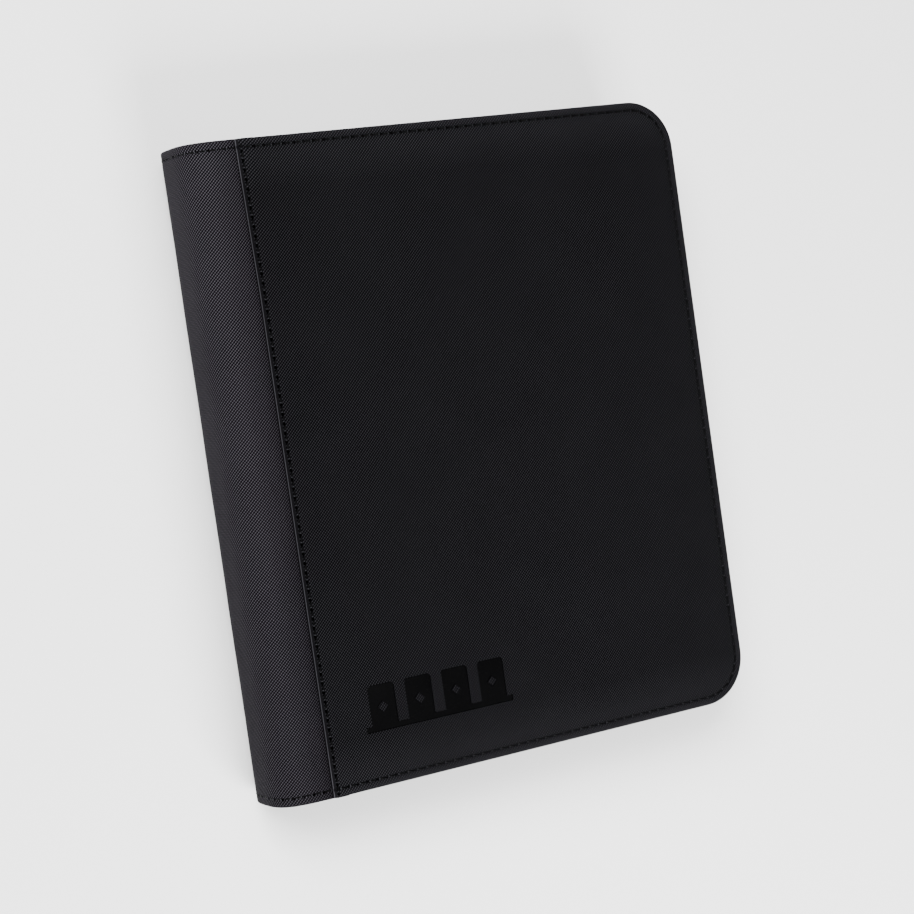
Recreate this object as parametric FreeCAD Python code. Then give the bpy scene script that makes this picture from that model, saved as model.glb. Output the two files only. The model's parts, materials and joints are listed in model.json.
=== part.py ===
import FreeCAD, Part
import math
import os

# A zip-round toploader binder lying on its back cover.
# X runs from the spine (-X) to the fore-edge (+X), Y from the bottom edge (-Y) to the top edge (+Y),
# Z from the back cover (0) to the front cover. All sizes are in millimetres.

V = FreeCAD.Vector

# Overall size
HEIGHT = 248.0
PANEL_WIDTH = 191.0
SPINE_BULGE = 21.1
THICKNESS = 36.0
CORNER_RADIUS = 19.25
HALF_HEIGHT = HEIGHT / 2
MID_Z = THICKNESS / 2
FORE_EDGE_X = (PANEL_WIDTH + SPINE_BULGE) / 2
SEAM_X = FORE_EDGE_X - PANEL_WIDTH

# Layers of one cover, from the outside inwards
LEATHER = 0.8
BOARD_TOP = 3.4
COVER = 4.0
OUTER_EDGE_ROUND = 1.2
INNER_EDGE_ROUND = 0.4
TURN_IN = 3.0
BOARD_START = 7.0

# Stitching
STITCH_INSET = 3.3
SEAM_STITCH_INSET = 2.3
GROOVE_WIDTH = 0.9
GROOVE_DEPTH = 0.4
THREAD_WIDTH = 0.6
THREAD_THICKNESS = 0.3

# Rounded spine: nested superellipse layers about the seam line
ROUNDNESS = 3.2
PROFILE_STEPS = 40
SPINE_HALF = THICKNESS / 2 - LEATHER - 0.1
SPINE_BOARD = 1.0
LINING = 0.6
SPINE_BOARD_REACH = 9.0
LAP = 6.0
LAP_END_GAP = 1.0

# Zip
TAPE = 0.6
TAPE_INSET = TURN_IN
TAPE_EDGE = MID_Z - 2.2
CHAIN_EDGE = MID_Z - 0.6
CHAIN_WIDTH = 2.2
ZIP_START_X = SEAM_X + 4.7
FRONT_ZIP_START_X = SEAM_X + 24.5
STOP_LENGTH = 2.4
ZIP_Y = -(HALF_HEIGHT - TAPE_INSET - TAPE / 2)

# Zip slider and pull
SLIDER_X = SEAM_X + 14.7
SLIDER_LENGTH = 11.0
SLIDER_HALF_WIDTH = 4.2
SLIDER_CHANNEL = 1.5
SLIDER_WALL = 1.0
RAIL_INSIDE = 2.7
RAIL_SLOT = 0.7
POST_THICKNESS = 0.6
POST_LENGTH = 3.0
BRIDGE_LENGTH = 8.0
BRIDGE_WIDTH = 2.0
BRIDGE_HEIGHT = 2.7
BRIDGE_METAL = 0.8
PULL_PIVOT_OUT = 1.0
PULL_LENGTH = 26.0
PULL_WIDTH = 7.0
PULL_THICKNESS = 1.0
PULL_EYE_LENGTH = 5.6
PULL_EYE_WIDTH = 3.0
PULL_HOLE_RADIUS = 1.4

# Pages and the comb that carries them
PAGE_COUNT = 10
PAGE_PITCH = 2.6
PAGE_HINGE_X = SEAM_X - 11.5
PAGE_CORE = 0.5
PAGE_START = 0.5
PAGE_END_X = 89.0
PAGE_HALF_HEIGHT = 113.0
PAGE_CORNER = 5.0
FILM = 0.3
POCKET_GAP = 0.25
WELD = 3.0
POCKET_WIDTH = 83.0
POCKETS_START_X = -90.0
COLUMN_GAP = 0.6
COMB = 1.0
COMB_REACH = 12.0
COMB_HALF_HEIGHT = 110.0
TAB_GAP = 0.3

# Emblem: four plain cards standing on a shelf line
EMBLEM_X = SEAM_X + 17.0
EMBLEM_Y = -HALF_HEIGHT + 21.0
EMBLEM_DEPTH = 0.35
FOIL = 0.15
SHELF_LENGTH = 64.0
SHELF_HEIGHT = 2.2
CARD_COUNT = 4
CARD_WIDTH = 11.0
CARD_HEIGHT = 17.0
CARD_PITCH = 16.0
CARD_CORNER = 1.6
CARD_WINDOW = 2.2


def save(name, shape):
    shape.exportStep(os.path.join("parts", name + ".step"))


def box(x0, x1, y0, y1, z0, z1):
    return Part.makeBox(x1 - x0, y1 - y0, z1 - z0, V(x0, y0, z0))


def to_front(shape):
    """The same piece on the front cover."""
    return shape.mirror(V(0, 0, MID_Z), V(0, 0, 1))


# ---- Covers ----

def panel(start_x, inset, z0, z1):
    """A cover-shaped plate, square at the seam and rounded at the fore-edge."""
    edge = FORE_EDGE_X - inset
    half = HALF_HEIGHT - inset
    radius = CORNER_RADIUS - inset
    low_centre = V(edge - radius, -half + radius, z0)
    high_centre = V(edge - radius, half - radius, z0)
    low_arc = Part.makeCircle(radius, low_centre, V(0, 0, 1), 270, 360)
    high_arc = Part.makeCircle(radius, high_centre, V(0, 0, 1), 0, 90)
    corners = [
        V(start_x, -half, z0),
        V(edge - radius, -half, z0),
        V(edge, -half + radius, z0),
        V(edge, half - radius, z0),
        V(edge - radius, half, z0),
        V(start_x, half, z0),
    ]
    edges = [
        Part.makeLine(corners[0], corners[1]),
        low_arc,
        Part.makeLine(corners[2], corners[3]),
        high_arc,
        Part.makeLine(corners[4], corners[5]),
        Part.makeLine(corners[5], corners[0]),
    ]
    return Part.Face(Part.Wire(edges)).extrude(V(0, 0, z1 - z0))


def rim(start_x, outer_inset, inner_inset, z0, z1):
    """A wall that follows the cover's three free edges."""
    inside = panel(start_x - 1, inner_inset, z0 - 1, z1 + 1)
    return panel(start_x, outer_inset, z0, z1).cut(inside)


def free_edges(shape, z):
    """The edges at height z that aren't on the seam side."""
    found = []
    for edge in shape.Edges:
        bounds = edge.BoundBox
        level = abs(bounds.ZMin - z) < 1e-6 and abs(bounds.ZMax - z) < 1e-6
        if level and bounds.XMax > SEAM_X + 1:
            found.append(edge)
    return found


def stitch_path(width, z0, z1, seam_gap):
    """The D-shaped run of one cover's stitching, as (perimeter, seam)."""
    half = width / 2
    seam = SEAM_X + SEAM_STITCH_INSET
    reach = HALF_HEIGHT - STITCH_INSET + half
    perimeter = rim(seam + half + seam_gap, STITCH_INSET - half, STITCH_INSET + half, z0, z1)
    straight = box(seam - half, seam + half, -reach, reach, z0, z1)
    return perimeter, straight


def cover_skin():
    """Leather wrapped round the board: outer face, edge wall and turned-in margin."""
    skin = panel(SEAM_X, 0, 0, COVER)
    skin = skin.makeFillet(OUTER_EDGE_ROUND, free_edges(skin, 0))
    skin = skin.makeFillet(INNER_EDGE_ROUND, free_edges(skin, COVER))
    skin = skin.cut(panel(SEAM_X - 1, LEATHER, LEATHER, BOARD_TOP))
    skin = skin.cut(panel(SEAM_X - 1, TURN_IN, BOARD_TOP, COVER + 1))
    perimeter, straight = stitch_path(GROOVE_WIDTH, -1, GROOVE_DEPTH, 0)
    return skin.cut(perimeter).cut(straight)


def cover_board():
    return panel(SEAM_X + BOARD_START, LEATHER, LEATHER, BOARD_TOP)


def cover_lining():
    return panel(SEAM_X, TURN_IN + TAPE, BOARD_TOP, COVER)


def cover_threads():
    top = GROOVE_DEPTH
    return stitch_path(THREAD_WIDTH, top - THREAD_THICKNESS, top, 0.2)


def card(x, y, z0, z1):
    """A rounded card with a diamond window."""
    outline = box(x, x + CARD_WIDTH, y, y + CARD_HEIGHT, z0, z1)
    uprights = [edge for edge in outline.Edges if edge.BoundBox.ZLength > (z1 - z0) / 2]
    outline = outline.makeFillet(CARD_CORNER, uprights)
    centre = V(x + CARD_WIDTH / 2, y + CARD_HEIGHT / 2, z0 - 1)
    points = [
        centre + V(CARD_WINDOW, 0, 0),
        centre + V(0, CARD_WINDOW, 0),
        centre + V(-CARD_WINDOW, 0, 0),
        centre + V(0, -CARD_WINDOW, 0),
        centre + V(CARD_WINDOW, 0, 0),
    ]
    window = Part.Face(Part.makePolygon(points)).extrude(V(0, 0, z1 - z0 + 2))
    return outline.cut(window)


def emblem(z0, z1):
    shelf = box(EMBLEM_X, EMBLEM_X + SHELF_LENGTH, EMBLEM_Y, EMBLEM_Y + SHELF_HEIGHT, z0, z1)
    row_length = (CARD_COUNT - 1) * CARD_PITCH + CARD_WIDTH
    first = EMBLEM_X + (SHELF_LENGTH - row_length) / 2
    foot = EMBLEM_Y + SHELF_HEIGHT - CARD_CORNER
    cards = [card(first + i * CARD_PITCH, foot, z0, z1) for i in range(CARD_COUNT)]
    return shelf.fuse(cards).removeSplitter()


# ---- Spine ----

def spine_reach(depth, half, offset):
    """How far a spine layer stands out from the seam at a distance offset from mid thickness."""
    return depth * (1 - (abs(offset) / half) ** ROUNDNESS) ** (1 / ROUNDNESS)


def spine_curve(depth, half):
    power = 2 / ROUNDNESS
    points = []
    for i in range(PROFILE_STEPS + 1):
        turn = math.pi * (i / PROFILE_STEPS - 0.5)
        out = depth * max(math.cos(turn), 0) ** power
        rise = half * math.copysign(abs(math.sin(turn)) ** power, turn)
        points.append(V(SEAM_X - out, 0, MID_Z + rise))
    points[0] = V(SEAM_X, 0, MID_Z - half)
    points[-1] = V(SEAM_X, 0, MID_Z + half)
    curve = Part.BSplineCurve()
    curve.interpolate(Points=points, InitialTangent=V(-1, 0, 0), FinalTangent=V(1, 0, 0))
    return curve.toShape()


def spine_layer(depth, half, thickness, lap, half_height):
    """One bent layer of the spine, with flat margins of length lap along both covers."""
    inner = half - thickness
    end = SEAM_X + lap
    edges = [spine_curve(depth, half), spine_curve(depth - thickness, inner)]
    for side in (-1, 1):
        outer_end = V(SEAM_X, 0, MID_Z + side * half)
        inner_end = V(SEAM_X, 0, MID_Z + side * inner)
        outer_tip = V(end, 0, outer_end.z)
        inner_tip = V(end, 0, inner_end.z)
        edges.append(Part.makeLine(outer_end, outer_tip))
        edges.append(Part.makeLine(outer_tip, inner_tip))
        edges.append(Part.makeLine(inner_tip, inner_end))
    wire = Part.Wire(Part.__sortEdges__(edges))
    wire.translate(V(0, -half_height, 0))
    return Part.Face(wire).extrude(V(0, 2 * half_height, 0))


def spine_part(depth, half, thickness, half_height, reach):
    """The middle of a spine layer, cut off at a distance reach above and below mid thickness."""
    layer = spine_layer(depth, half, thickness, 1, half_height)
    keep = box(SEAM_X - 50, SEAM_X - 1, -HEIGHT, HEIGHT, MID_Z - reach, MID_Z + reach)
    return layer.common(keep)


def spine_skin():
    skin = spine_layer(SPINE_BULGE, SPINE_HALF, LEATHER, LAP, HALF_HEIGHT)
    for side in (-1, 1):
        near = side * (HALF_HEIGHT - LAP_END_GAP)
        far = side * HEIGHT
        low, high = sorted((near, far))
        skin = skin.cut(box(SEAM_X - 0.1, SEAM_X + LAP + 1, low, high, -1, THICKNESS + 1))
        skin = skin.cut(end_thread(side, GROOVE_WIDTH, -1, GROOVE_DEPTH))
    return skin


def end_thread(side, width, shallow, deep):
    """A stitch run round one end of the spine, between two depths under its surface."""
    band = spine_layer(SPINE_BULGE - shallow, SPINE_HALF - shallow, deep - shallow, 0.01, width / 2)
    band = band.common(box(SEAM_X - 50, SEAM_X - 0.3, -HEIGHT, HEIGHT, -9, THICKNESS + 9))
    band.translate(V(0, side * (HALF_HEIGHT - STITCH_INSET), 0))
    return band


def comb():
    """The strip glued inside the spine, with one tab for each page."""
    depth = SPINE_BULGE - LEATHER - SPINE_BOARD - LINING
    half = SPINE_HALF - LEATHER - SPINE_BOARD - LINING
    strip = spine_part(depth, half, COMB, COMB_HALF_HEIGHT, COMB_REACH)
    tabs = []
    for number in range(1, PAGE_COUNT + 1):
        height = page_height(number)
        reach = spine_reach(depth - COMB, half - COMB, height - MID_Z)
        start = SEAM_X - reach - COMB / 2
        low = height - PAGE_CORE / 2
        end = PAGE_HINGE_X - TAB_GAP
        tabs.append(box(start, end, -COMB_HALF_HEIGHT, COMB_HALF_HEIGHT, low, low + PAGE_CORE))
    return strip.fuse(tabs).removeSplitter()


# ---- Pages ----

def page_height(number):
    return MID_Z + PAGE_PITCH * (number - (PAGE_COUNT + 1) / 2)


def page_sheet(height):
    low = height - PAGE_CORE / 2
    sheet = box(
        PAGE_HINGE_X + PAGE_START, PAGE_END_X, -PAGE_HALF_HEIGHT, PAGE_HALF_HEIGHT, low, low + PAGE_CORE
    )
    corners = []
    for edge in sheet.Edges:
        bounds = edge.BoundBox
        if bounds.ZLength > PAGE_CORE / 2 and bounds.XMin > PAGE_END_X - 1:
            corners.append(edge)
    return sheet.makeFillet(PAGE_CORNER, corners)


def pocket_side(base):
    """The clear film and its welds on top of a sheet face at height base."""
    column = POCKET_WIDTH + WELD
    end = POCKETS_START_X + 2 * column + COLUMN_GAP
    top = base + POCKET_GAP + FILM
    pieces = []
    for y in (-PAGE_HALF_HEIGHT, -WELD / 2, PAGE_HALF_HEIGHT - WELD):
        pieces.append(box(POCKETS_START_X, end, y, y + WELD, base, top))
    for index in range(2):
        start = POCKETS_START_X + index * (column + COLUMN_GAP)
        film = box(start, start + column, -PAGE_HALF_HEIGHT, PAGE_HALF_HEIGHT, base + POCKET_GAP, top)
        weld = box(
            start + POCKET_WIDTH, start + column, -PAGE_HALF_HEIGHT, PAGE_HALF_HEIGHT, base, top
        )
        pieces.append(film)
        pieces.append(weld)
    return pieces[0].fuse(pieces[1:]).removeSplitter()


def page_pockets(height):
    front = pocket_side(height + PAGE_CORE / 2)
    back = front.mirror(V(0, 0, height), V(0, 0, 1))
    return Part.makeCompound(front.Solids + back.Solids)


# ---- Zip ----

def zip_tape(start_x, bottom_start_x):
    tape = rim(start_x, TAPE_INSET, TAPE_INSET + TAPE, BOARD_TOP, TAPE_EDGE)
    return trim_bottom_run(tape, bottom_start_x)


def zip_chain(start_x, bottom_start_x):
    middle = TAPE_INSET + TAPE / 2
    half = CHAIN_WIDTH / 2
    chain = rim(start_x, middle - half, middle + half, TAPE_EDGE, CHAIN_EDGE)
    return trim_bottom_run(chain, bottom_start_x)


def trim_bottom_run(shape, start_x):
    return shape.cut(box(SEAM_X - 5, start_x, -HEIGHT, 0, -1, THICKNESS + 1))


def zip_stop(chain_start_x, side):
    """A crimped metal block that ends a row of teeth."""
    half = CHAIN_WIDTH / 2
    y = side * abs(ZIP_Y)
    return box(chain_start_x - STOP_LENGTH, chain_start_x, y - half, y + half, TAPE_EDGE, CHAIN_EDGE)


def slider_half(side):
    """One plate of the slider, with the rails that keep it on the teeth."""
    x0 = SLIDER_X - SLIDER_LENGTH / 2
    x1 = SLIDER_X + SLIDER_LENGTH / 2
    inner = ZIP_Y + side * SLIDER_CHANNEL
    outer = ZIP_Y + side * (SLIDER_CHANNEL + SLIDER_WALL)
    slot = ZIP_Y + side * RAIL_SLOT
    y0, y1 = sorted((inner, outer))
    plate = box(x0, x1, y0, y1, MID_Z - SLIDER_HALF_WIDTH, MID_Z + SLIDER_HALF_WIDTH)
    uprights = [edge for edge in plate.Edges if edge.BoundBox.YLength > SLIDER_WALL / 2]
    plate = plate.makeFillet(1.4, uprights)
    y0, y1 = sorted((slot, outer))
    high = box(x0 + 1.5, x1 - 1.5, y0, y1, MID_Z + RAIL_INSIDE, MID_Z + SLIDER_HALF_WIDTH)
    low = box(x0 + 1.5, x1 - 1.5, y0, y1, MID_Z - SLIDER_HALF_WIDTH, MID_Z - RAIL_INSIDE)
    return plate.fuse([high, low]).removeSplitter()


def slider_body():
    half = POST_THICKNESS / 2
    start = SLIDER_X - SLIDER_LENGTH / 2 + 1.0
    reach = SLIDER_CHANNEL + SLIDER_WALL / 2
    post = box(start, start + POST_LENGTH, ZIP_Y - reach, ZIP_Y + reach, MID_Z - half, MID_Z + half)
    return slider_half(-1).fuse([slider_half(1), post]).removeSplitter()


def slider_bridge():
    """The arch on the slider's outer plate that holds the pull."""
    base = ZIP_Y - SLIDER_CHANNEL - SLIDER_WALL
    x0 = SLIDER_X - BRIDGE_LENGTH / 2
    x1 = SLIDER_X + BRIDGE_LENGTH / 2
    half = BRIDGE_WIDTH / 2
    arch = box(x0, x1, base - BRIDGE_HEIGHT, base, MID_Z - half, MID_Z + half)
    corners = []
    for edge in arch.Edges:
        bounds = edge.BoundBox
        if bounds.ZLength > half and bounds.YMax < base - 1:
            corners.append(edge)
    arch = arch.makeFillet(1.2, corners)
    metal = BRIDGE_METAL
    window = box(
        x0 + metal, x1 - metal, base - BRIDGE_HEIGHT + metal, base + 1, MID_Z - 5, MID_Z + 5
    )
    return arch.cut(window)


def pull_tab():
    """A flat pull with an eye, whose round end bar turns in the bridge."""
    pivot_y = ZIP_Y - SLIDER_CHANNEL - SLIDER_WALL - PULL_PIVOT_OUT
    half = PULL_THICKNESS / 2
    wide = PULL_WIDTH / 2
    tab = box(
        SLIDER_X, SLIDER_X + PULL_LENGTH, pivot_y - half, pivot_y + half, MID_Z - wide, MID_Z + wide
    )
    corners = []
    for edge in tab.Edges:
        bounds = edge.BoundBox
        if bounds.YLength > half and bounds.XMin > SLIDER_X + 1:
            corners.append(edge)
    tab = tab.makeFillet(2.4, corners)
    eye = box(
        SLIDER_X - 1,
        SLIDER_X + half + PULL_EYE_LENGTH,
        pivot_y - 2,
        pivot_y + 2,
        MID_Z - PULL_EYE_WIDTH / 2,
        MID_Z + PULL_EYE_WIDTH / 2,
    )
    hole_centre = V(SLIDER_X + PULL_LENGTH - 4.5, pivot_y - 2, MID_Z)
    hole = Part.makeCylinder(PULL_HOLE_RADIUS, 4, hole_centre, V(0, 1, 0))
    bar = Part.makeCylinder(half, PULL_WIDTH, V(SLIDER_X, pivot_y, MID_Z - wide), V(0, 0, 1))
    return tab.cut(eye).cut(hole).fuse(bar).removeSplitter()


# ---- Files ----

def save_covers():
    perimeter, seam = cover_threads()
    shared = {
        "board": cover_board(),
        "lining": cover_lining(),
        "perimeter_stitching": perimeter,
        "seam_stitching": seam,
    }
    for name, shape in shared.items():
        save("back_cover_" + name, shape)
        save("front_cover_" + name, to_front(shape))
    save("back_cover_skin", cover_skin())
    recess = emblem(THICKNESS - EMBLEM_DEPTH, THICKNESS + 1)
    save("front_cover_skin", to_front(cover_skin()).cut(recess))
    floor = THICKNESS - EMBLEM_DEPTH
    save("front_cover_emblem", emblem(floor, floor + FOIL))


def save_zip():
    starts = {"back": ZIP_START_X, "front": FRONT_ZIP_START_X}
    for cover, bottom_start in starts.items():
        pieces = {
            "zip_tape": zip_tape(ZIP_START_X, bottom_start),
            "zip_teeth": zip_chain(ZIP_START_X, bottom_start),
            "zip_stop_bottom": zip_stop(bottom_start, -1),
            "zip_stop_top": zip_stop(ZIP_START_X, 1),
        }
        for name, shape in pieces.items():
            placed = to_front(shape) if cover == "front" else shape
            save(cover + "_" + name, placed)
    save("zip_slider_body", slider_body())
    save("zip_slider_bridge", slider_bridge())
    save("zip_pull_tab", pull_tab())


def save_spine():
    save("spine_skin", spine_skin())
    depth = SPINE_BULGE - LEATHER
    half = SPINE_HALF - LEATHER
    save("spine_board", spine_part(depth, half, SPINE_BOARD, HALF_HEIGHT - 1, SPINE_BOARD_REACH))
    depth -= SPINE_BOARD
    half -= SPINE_BOARD
    save("spine_lining", spine_layer(depth, half, LINING, LAP, HALF_HEIGHT - LAP_END_GAP))
    shallow = GROOVE_DEPTH - THREAD_THICKNESS
    save("spine_stitching_bottom", end_thread(-1, THREAD_WIDTH, shallow, GROOVE_DEPTH))
    save("spine_stitching_top", end_thread(1, THREAD_WIDTH, shallow, GROOVE_DEPTH))
    save("page_binding_comb", comb())


def save_pages():
    for number in range(1, PAGE_COUNT + 1):
        height = page_height(number)
        label = "page_%02d_" % number
        save(label + "sheet", page_sheet(height))
        save(label + "pockets", page_pockets(height))


os.makedirs("parts", exist_ok=True)
save_covers()
save_zip()
save_spine()
save_pages()
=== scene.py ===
import json
import math
import bmesh
import bpy
from mathutils import Matrix, Vector

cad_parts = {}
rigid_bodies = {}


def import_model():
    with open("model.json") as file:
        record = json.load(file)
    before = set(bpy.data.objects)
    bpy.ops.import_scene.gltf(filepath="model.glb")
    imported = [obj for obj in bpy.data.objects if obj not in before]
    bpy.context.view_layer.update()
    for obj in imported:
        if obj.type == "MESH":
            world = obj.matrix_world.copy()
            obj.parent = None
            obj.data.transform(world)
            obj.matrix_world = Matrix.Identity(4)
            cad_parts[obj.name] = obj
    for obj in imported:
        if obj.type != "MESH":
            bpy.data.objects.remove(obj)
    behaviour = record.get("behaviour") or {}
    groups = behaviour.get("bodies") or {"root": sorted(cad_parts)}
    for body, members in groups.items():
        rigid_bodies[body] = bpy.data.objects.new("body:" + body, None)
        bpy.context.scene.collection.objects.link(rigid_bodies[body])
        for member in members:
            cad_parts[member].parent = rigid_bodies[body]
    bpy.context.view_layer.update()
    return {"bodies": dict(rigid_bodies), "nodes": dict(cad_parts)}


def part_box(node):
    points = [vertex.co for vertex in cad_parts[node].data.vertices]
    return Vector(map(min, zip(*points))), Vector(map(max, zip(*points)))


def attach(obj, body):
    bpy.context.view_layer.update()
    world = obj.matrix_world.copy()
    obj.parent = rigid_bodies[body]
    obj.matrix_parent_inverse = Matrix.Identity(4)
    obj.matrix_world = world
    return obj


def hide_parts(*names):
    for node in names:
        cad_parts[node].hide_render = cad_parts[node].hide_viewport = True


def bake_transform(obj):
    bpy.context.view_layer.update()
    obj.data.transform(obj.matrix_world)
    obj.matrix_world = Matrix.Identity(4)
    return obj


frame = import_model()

MM = 0.001

# ---- Sizes in millimetres, from the frame ----

skin_low, skin_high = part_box("front_cover_skin")
spine_low, spine_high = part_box("spine_skin")
tape_low, tape_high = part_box("back_zip_tape")
SEAM_X = skin_low.x / MM
FORE_X = skin_high.x / MM
HALF_HEIGHT = skin_high.y / MM
THICKNESS = skin_high.z / MM
MID_Z = THICKNESS / 2
BULGE = SEAM_X - spine_low.x / MM
SPINE_HALF = (spine_high.z - spine_low.z) / MM / 2
COVER = THICKNESS - skin_low.z / MM

# ---- Sizes in millimetres that the frame's boxes don't give ----

# The covers' round corners, and the power of the spine's rounded section.
CORNER = 19.25
ROUNDNESS = 3.2

# The spine's layers, their margin under each cover, and the run along the leather from there to its middle.
LEATHER = 0.8
SPINE_BOARD = 1.0
MARGIN = 6
MARGIN_STEPS = 6
SPINE_MIDDLE = 38.57

# Stitch lines from the edge and from the fold beside the spine, and their stitch lengths.
STITCH_INSET = 3.3
STITCH_PITCH = 4.1
SEAM_STITCH = 1.65
SEAM_PITCH = 3.5

# The leather's crossed grain.
GRAIN_PITCH = 1.25

# The fold strays over the spine by STRAY at the head, from nothing at the height STRAY_FROM.
STRAY = 1.1
STRAY_FROM = 66


# ---- Materials ----

class Nodes:
    """A material's node tree, with short calls for the nodes used here."""

    def __init__(self, name):
        self.material = bpy.data.materials.new(name)
        self.material.use_nodes = True
        self.tree = self.material.node_tree
        self.shader = self.tree.nodes["Principled BSDF"]

    def new(self, kind, **settings):
        node = self.tree.nodes.new(kind)
        for key, value in settings.items():
            setattr(node, key, value)
        return node

    def join(self, source, target):
        self.tree.links.new(source, target)

    def math(self, operation, first, second=0.0):
        node = self.new("ShaderNodeMath", operation=operation)
        for socket, value in zip(node.inputs, (first, second)):
            if isinstance(value, (int, float)):
                socket.default_value = value
            else:
                self.join(value, socket)
        return node.outputs[0]

    def noise(self, vector, scale, detail=3.0, roughness=0.6):
        node = self.new("ShaderNodeTexNoise")
        node.inputs["Scale"].default_value = scale
        node.inputs["Detail"].default_value = detail
        node.inputs["Roughness"].default_value = roughness
        self.join(vector, node.inputs["Vector"])
        return node.outputs["Fac"]

    def ramp(self, value, stops):
        node = self.new("ShaderNodeValToRGB")
        ramp = node.color_ramp
        while len(ramp.elements) < len(stops):
            ramp.elements.new(0.5)
        for element, (place, colour) in zip(ramp.elements, stops):
            element.position = place
            element.color = (*colour, 1)
        self.join(value, node.inputs[0])
        return node.outputs[0]

    def span(self, value, low, high, start=0.0, end=1.0):
        node = self.new("ShaderNodeMapRange")
        node.inputs["From Min"].default_value = start
        node.inputs["From Max"].default_value = end
        node.inputs["To Min"].default_value = low
        node.inputs["To Max"].default_value = high
        self.join(value, node.inputs["Value"])
        return node.outputs["Result"]

    def colour(self, value, stops):
        self.join(self.ramp(value, stops), self.shader.inputs["Base Color"])

    def rough(self, value, low, high):
        self.join(self.span(value, low, high), self.shader.inputs["Roughness"])

    def relief(self, height, distance, strength):
        node = self.new("ShaderNodeBump")
        node.inputs["Distance"].default_value = distance
        node.inputs["Strength"].default_value = strength
        self.join(height, node.inputs["Height"])
        self.join(node.outputs["Normal"], self.shader.inputs["Normal"])

    def parts(self, vector):
        node = self.new("ShaderNodeSeparateXYZ")
        self.join(vector, node.inputs[0])
        return node.outputs[0], node.outputs[1]

    def set(self, **values):
        for key, value in values.items():
            self.shader.inputs[key.replace("_", " ")].default_value = value

    def place(self, uv):
        coordinates = self.new("ShaderNodeTexCoord")
        return coordinates.outputs["UV" if uv else "Object"]


def crossed(n, vector, pitch):
    """Height of a diagonal crossed grain: small raised diamonds between two families of lines."""
    x, y = n.parts(vector)
    turn = math.pi / pitch
    one = n.math("ABSOLUTE", n.math("SINE", n.math("MULTIPLY", n.math("ADD", x, y), turn)))
    two = n.math("ABSOLUTE", n.math("SINE", n.math("MULTIPLY", n.math("SUBTRACT", x, y), turn)))
    ridge = n.math("ADD", 0.25, n.math("MULTIPLY", n.math("POWER", one, 3), 0.75))
    return n.math("MULTIPLY", n.math("POWER", two, 3), ridge)


def cover_painted_light(n, x, y):
    """Painted light on a cover: a painted highlight at its rolled edge, head and tail, and painted shade in
    the stitch groove.
    """
    high = n.math("ABSOLUTE", y)
    corner_x = n.math("MAXIMUM", n.math("SUBTRACT", x, FORE_X - CORNER), 0.0)
    corner_y = n.math("MAXIMUM", n.math("SUBTRACT", high, HALF_HEIGHT - CORNER), 0.0)
    squares = n.math("ADD", n.math("MULTIPLY", corner_x, corner_x), n.math("MULTIPLY", corner_y, corner_y))
    reach = n.math("SQRT", squares)
    # Painted highlights: paler over the rolled edge, towards the head and tail, and more again at the rims
    # of the head and tail.
    rolled = n.span(reach, 0.0, 0.42, CORNER - 3.5, CORNER - 2.9)
    ends = n.span(high, 0.0, 0.38, HALF_HEIGHT - 20, HALF_HEIGHT - 7)
    rims = n.span(high, 1.0, 1.4, HALF_HEIGHT - 2.4, HALF_HEIGHT - 0.4)
    # Painted shade: darker along the stitch groove.
    off_line = n.math("ABSOLUTE", n.math("SUBTRACT", reach, CORNER - STITCH_INSET))
    groove_shade = n.span(off_line, 0.55, 1.0, 0.25, 0.8)
    return n.math("MULTIPLY", n.math("ADD", rims, n.math("MAXIMUM", rolled, ends)), groove_shade)


def spine_painted_light(n, x, y):
    """Painted light on the spine: painted shade in the joints beside the covers and in the crease by each
    fold, a painted highlight over its shoulders, and paler towards the head.
    """
    middle = n.math("ABSOLUTE", n.math("ADD", x, SPINE_MIDDLE))
    # Painted shade: darker in the joints beside the covers, darkest in the crease by each fold.
    joint_shade = n.span(middle, 1.0, 0.72, 20.0, 29.5)
    crease = n.span(middle, 0.0, -0.17, 29.0, 31.5)
    # Painted highlight over the shoulders, and paler towards the head, where the light comes from.
    shoulder_highlight = n.span(middle, 0.2, 0.0, 7.0, 14.5)
    head = n.span(y, -0.02, 0.22, -HALF_HEIGHT, HALF_HEIGHT)
    return n.math("ADD", n.math("ADD", joint_shade, crease), n.math("ADD", shoulder_highlight, head))


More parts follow.
